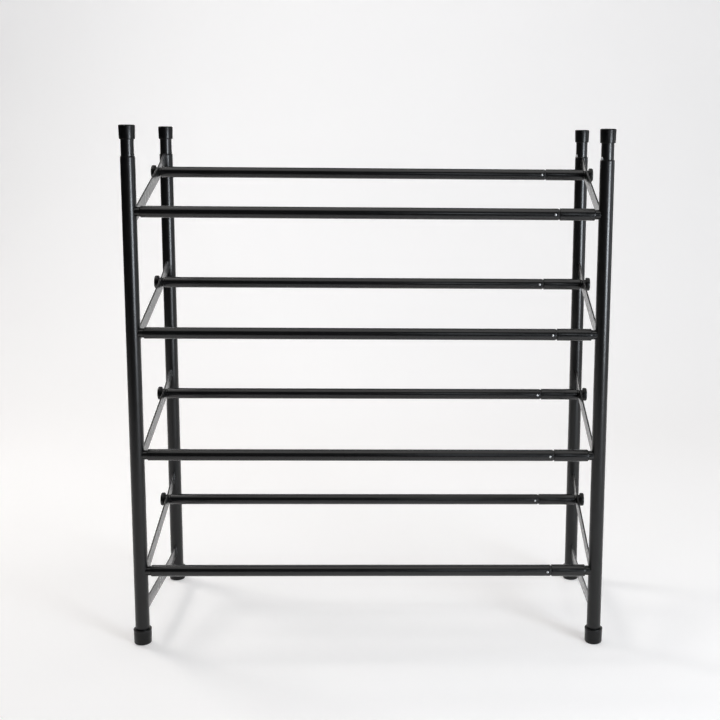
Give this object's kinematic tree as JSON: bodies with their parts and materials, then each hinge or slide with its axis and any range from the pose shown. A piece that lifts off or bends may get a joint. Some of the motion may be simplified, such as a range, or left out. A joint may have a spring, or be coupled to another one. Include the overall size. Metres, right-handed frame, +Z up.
{
  "type": "tiered shoe rack",
  "caption": "Slanted-tier steel shoe rack with round rails between two side frames; the rails telescope so that the rack extends sideways.",
  "frame": {"origin": "on the floor, under the middle of the collapsed rack's footprint", "axes": "+X to the right along the rails, in the direction the rack extends; +Y to the back, the high side of the tiers; +Z up"},
  "size_m": [0.6424, 0.2544, 0.7],
  "materials": {
    "upright_paint": "black powder coat, satin",
    "stub_paint": "black powder coat, satin",
    "bar_paint": "black powder coat, semi-gloss",
    "rail_paint": "black powder coat, satin",
    "slide_paint": "black powder coat, worn smooth by sliding",
    "sleeve_plastic": "black, semi-gloss",
    "fitting_plastic": "black moulded, fine matt grain"
  },
  "bodies": {
    "left_frame": {"left_front_upright": "upright_paint", "left_front_stub": "stub_paint", "left_front_cap": "fitting_plastic", "left_front_foot": "fitting_plastic", "left_back_upright": "upright_paint", "left_back_stub": "stub_paint", "left_back_cap": "fitting_plastic", "left_back_foot": "fitting_plastic", "left_side_bar_1": "bar_paint", "left_side_bar_2": "bar_paint", "left_side_bar_3": "bar_paint", "left_side_bar_4": "bar_paint", "left_base_brace": "bar_paint", "left_knob_1": "fitting_plastic", "left_knob_2": "fitting_plastic", "left_knob_3": "fitting_plastic", "left_knob_4": "fitting_plastic", "front_rail_1_outer_tube": "rail_paint", "front_rail_2_outer_tube": "rail_paint", "front_rail_3_outer_tube": "rail_paint", "front_rail_4_outer_tube": "rail_paint", "back_rail_1_outer_tube": "rail_paint", "back_rail_2_outer_tube": "rail_paint", "back_rail_3_outer_tube": "rail_paint", "back_rail_4_outer_tube": "rail_paint"},
    "right_frame": {"right_front_upright": "upright_paint", "right_front_stub": "stub_paint", "right_front_cap": "fitting_plastic", "right_front_foot": "fitting_plastic", "right_back_upright": "upright_paint", "right_back_stub": "stub_paint", "right_back_cap": "fitting_plastic", "right_back_foot": "fitting_plastic", "right_side_bar_1": "bar_paint", "right_side_bar_2": "bar_paint", "right_side_bar_3": "bar_paint", "right_side_bar_4": "bar_paint", "right_base_brace": "bar_paint", "right_knob_1": "fitting_plastic", "right_knob_2": "fitting_plastic", "right_knob_3": "fitting_plastic", "right_knob_4": "fitting_plastic", "front_rail_1_inner_tube": "slide_paint", "front_rail_1_end_sleeve": "sleeve_plastic", "front_rail_2_inner_tube": "slide_paint", "front_rail_2_end_sleeve": "sleeve_plastic", "front_rail_3_inner_tube": "slide_paint", "front_rail_3_end_sleeve": "sleeve_plastic", "front_rail_4_inner_tube": "slide_paint", "front_rail_4_end_sleeve": "sleeve_plastic", "back_rail_1_inner_tube": "slide_paint", "back_rail_1_end_sleeve": "sleeve_plastic", "back_rail_2_inner_tube": "slide_paint", "back_rail_2_end_sleeve": "sleeve_plastic", "back_rail_3_inner_tube": "slide_paint", "back_rail_3_end_sleeve": "sleeve_plastic", "back_rail_4_inner_tube": "slide_paint", "back_rail_4_end_sleeve": "sleeve_plastic"}
  },
  "joints": [
    {"name": "extend", "type": "slide", "parent": "left_frame", "child": "right_frame", "axis": [1, 0, 0], "range_m": [0, 0.45]}
  ]
}
